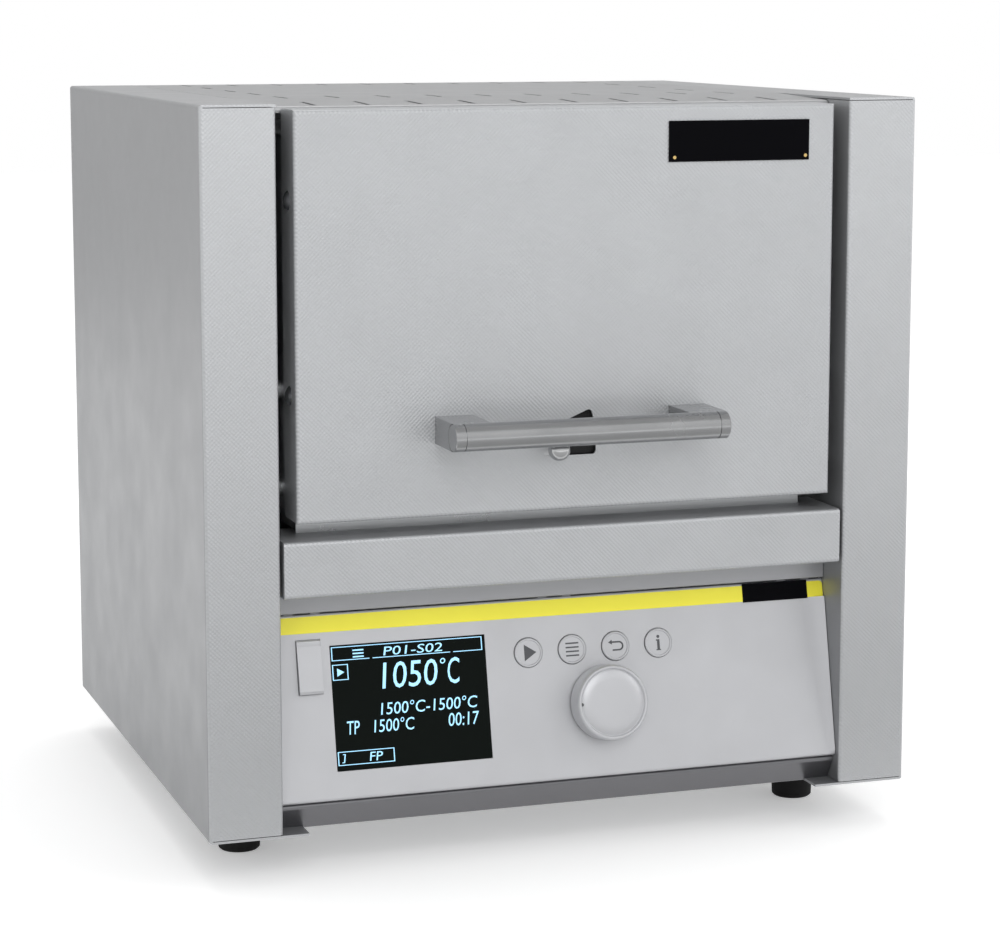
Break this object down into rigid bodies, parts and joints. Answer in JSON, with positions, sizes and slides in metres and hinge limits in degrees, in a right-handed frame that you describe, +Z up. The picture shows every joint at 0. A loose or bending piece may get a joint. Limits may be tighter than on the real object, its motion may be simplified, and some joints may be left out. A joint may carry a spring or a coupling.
{
  "type": "muffle furnace",
  "caption": "Square benchtop muffle furnace with a lift door on parallel arms, sloped control console with display, keys and jog knob, and a fibre-lined chamber",
  "frame": {"origin": "on the support surface under the middle of the furnace's overall width and depth", "axes": "+X is to the right as seen by someone facing the door, +Y points back to the exhaust outlet, +Z is up; the door faces -Y"},
  "size_m": [0.385, 0.4012, 0.394],
  "materials": {
    "stainless": "satin",
    "textured_stainless": "satin",
    "dark_stainless": "satin",
    "polished_steel": "polished",
    "zinc_steel": "satin",
    "light_grey_plastic": "satin",
    "yellow_film": "satin",
    "display_glass": "gloss",
    "black_plastic": "satin",
    "circuit_board": "satin",
    "aluminium": "satin",
    "brass": "satin",
    "rubber": "matte",
    "fibre_insulation": "matte",
    "ceramic": "matte",
    "red_plastic": "satin"
  },
  "bodies": {
    "housing": {"side_panel_left": "stainless", "side_panel_right": "stainless", "top_cover": "stainless", "rear_panel": "stainless", "base_pan": "zinc_steel", "feet": "rubber", "front_fascia": "textured_stainless", "lower_strip": "dark_stainless", "console_housing": "light_grey_plastic", "console_face": "light_grey_plastic", "accent_stripe": "yellow_film", "display_lens": "display_glass", "display_module": "black_plastic", "controller_board": "circuit_board", "encoder_body": "brass", "usb_port": "polished_steel", "inner_casing": "zinc_steel", "front_frame": "stainless", "insulation_collar": "fibre_insulation", "insulation_floor": "fibre_insulation", "insulation_roof": "fibre_insulation", "insulation_rear": "fibre_insulation", "insulation_walls": "fibre_insulation", "heating_plates": "ceramic", "heater_windings": "zinc_steel", "heater_leads": "zinc_steel", "hearth_plate": "ceramic", "thermocouple": "ceramic", "exhaust_tube": "ceramic", "exhaust_outlet": "stainless", "terminal_block": "ceramic", "casing_supports": "zinc_steel", "relay": "black_plastic", "pivot_frames": "zinc_steel", "frame_pins": "zinc_steel", "power_inlet": "black_plastic", "switch_body": "black_plastic", "rear_screws": "polished_steel"},
    "door": {"door_shell": "textured_stainless", "door_insulation": "fibre_insulation", "door_inner_frame": "stainless", "door_plug": "fibre_insulation", "handle_bar": "stainless", "handle_mounts": "stainless", "door_carriers": "stainless", "door_bolts": "polished_steel", "carrier_pins": "zinc_steel"},
    "upper_arms": {"upper_arms": "zinc_steel"},
    "lower_arms": {"lower_arms": "zinc_steel"},
    "air_slide": {"air_slide": "stainless", "air_knob": "polished_steel"},
    "knob_plunger": {"encoder_plunger": "black_plastic"},
    "jog_knob": {"encoder_shaft": "polished_steel", "jog_knob": "light_grey_plastic"},
    "usb_flap": {"usb_flap": "light_grey_plastic"},
    "switch_rocker": {"switch_rocker": "red_plastic"},
    "play_key": {"play_key": "light_grey_plastic"},
    "menu_key": {"menu_key": "light_grey_plastic"},
    "return_key": {"return_key": "light_grey_plastic"},
    "info_key": {"info_key": "light_grey_plastic"}
  },
  "joints": [
    {"name": "upper_arm_swing", "type": "hinge", "parent": "housing", "child": "upper_arms", "pos_m": [0, -0.08734, 0.35], "axis": [-1, 0, 0], "range_deg": [0, 100]},
    {"name": "lower_arm_swing", "type": "hinge", "parent": "housing", "child": "lower_arms", "pos_m": [0, -0.08734, 0.3], "axis": [-1, 0, 0], "range_deg": [0, 100]},
    {"name": "door_level", "type": "hinge", "parent": "upper_arms", "child": "door", "pos_m": [0, -0.1244, 0.24817], "axis": [-1, 0, 0], "range_deg": [-100, 0]},
    {"name": "air_slide_travel", "type": "slide", "parent": "door", "child": "air_slide", "axis": [1, 0, 0], "range_m": [0, 0.022]},
    {"name": "knob_press", "type": "slide", "parent": "housing", "child": "knob_plunger", "axis": [0, 0.9755, -0.2198], "range_m": [0, 0.0006], "stiffness_N_per_m": 600, "springref_m": -0.001},
    {"name": "knob_turn", "type": "hinge", "parent": "knob_plunger", "child": "jog_knob", "pos_m": [0.0239, -0.152, 0.07827], "axis": [0, 0.9755, -0.2198], "continuous": true},
    {"name": "usb_flap_hinge", "type": "hinge", "parent": "housing", "child": "usb_flap", "pos_m": [-0.135, -0.14271, 0.11994], "axis": [-1, 0, 0], "range_deg": [0, 100]},
    {"name": "mains_switch", "type": "hinge", "parent": "housing", "child": "switch_rocker", "pos_m": [0.082, 0.1824, 0.065], "axis": [-1, 0, 0], "range_deg": [0, 18]},
    {"name": "play_key_press", "type": "slide", "parent": "housing", "child": "play_key", "axis": [0, 0.9755, -0.2198], "range_m": [0, 0.001], "stiffness_N_per_m": 400, "springref_m": -0.001},
    {"name": "menu_key_press", "type": "slide", "parent": "housing", "child": "menu_key", "axis": [0, 0.9755, -0.2198], "range_m": [0, 0.001], "stiffness_N_per_m": 400, "springref_m": -0.001},
    {"name": "return_key_press", "type": "slide", "parent": "housing", "child": "return_key", "axis": [0, 0.9755, -0.2198], "range_m": [0, 0.001], "stiffness_N_per_m": 400, "springref_m": -0.001},
    {"name": "info_key_press", "type": "slide", "parent": "housing", "child": "info_key", "axis": [0, 0.9755, -0.2198], "range_m": [0, 0.001], "stiffness_N_per_m": 400, "springref_m": -0.001}
  ],
  "couplings": [
    {"joint": "lower_arm_swing", "follows": "upper_arm_swing", "ratio": 1},
    {"joint": "door_level", "follows": "upper_arm_swing", "ratio": -1}
  ]
}
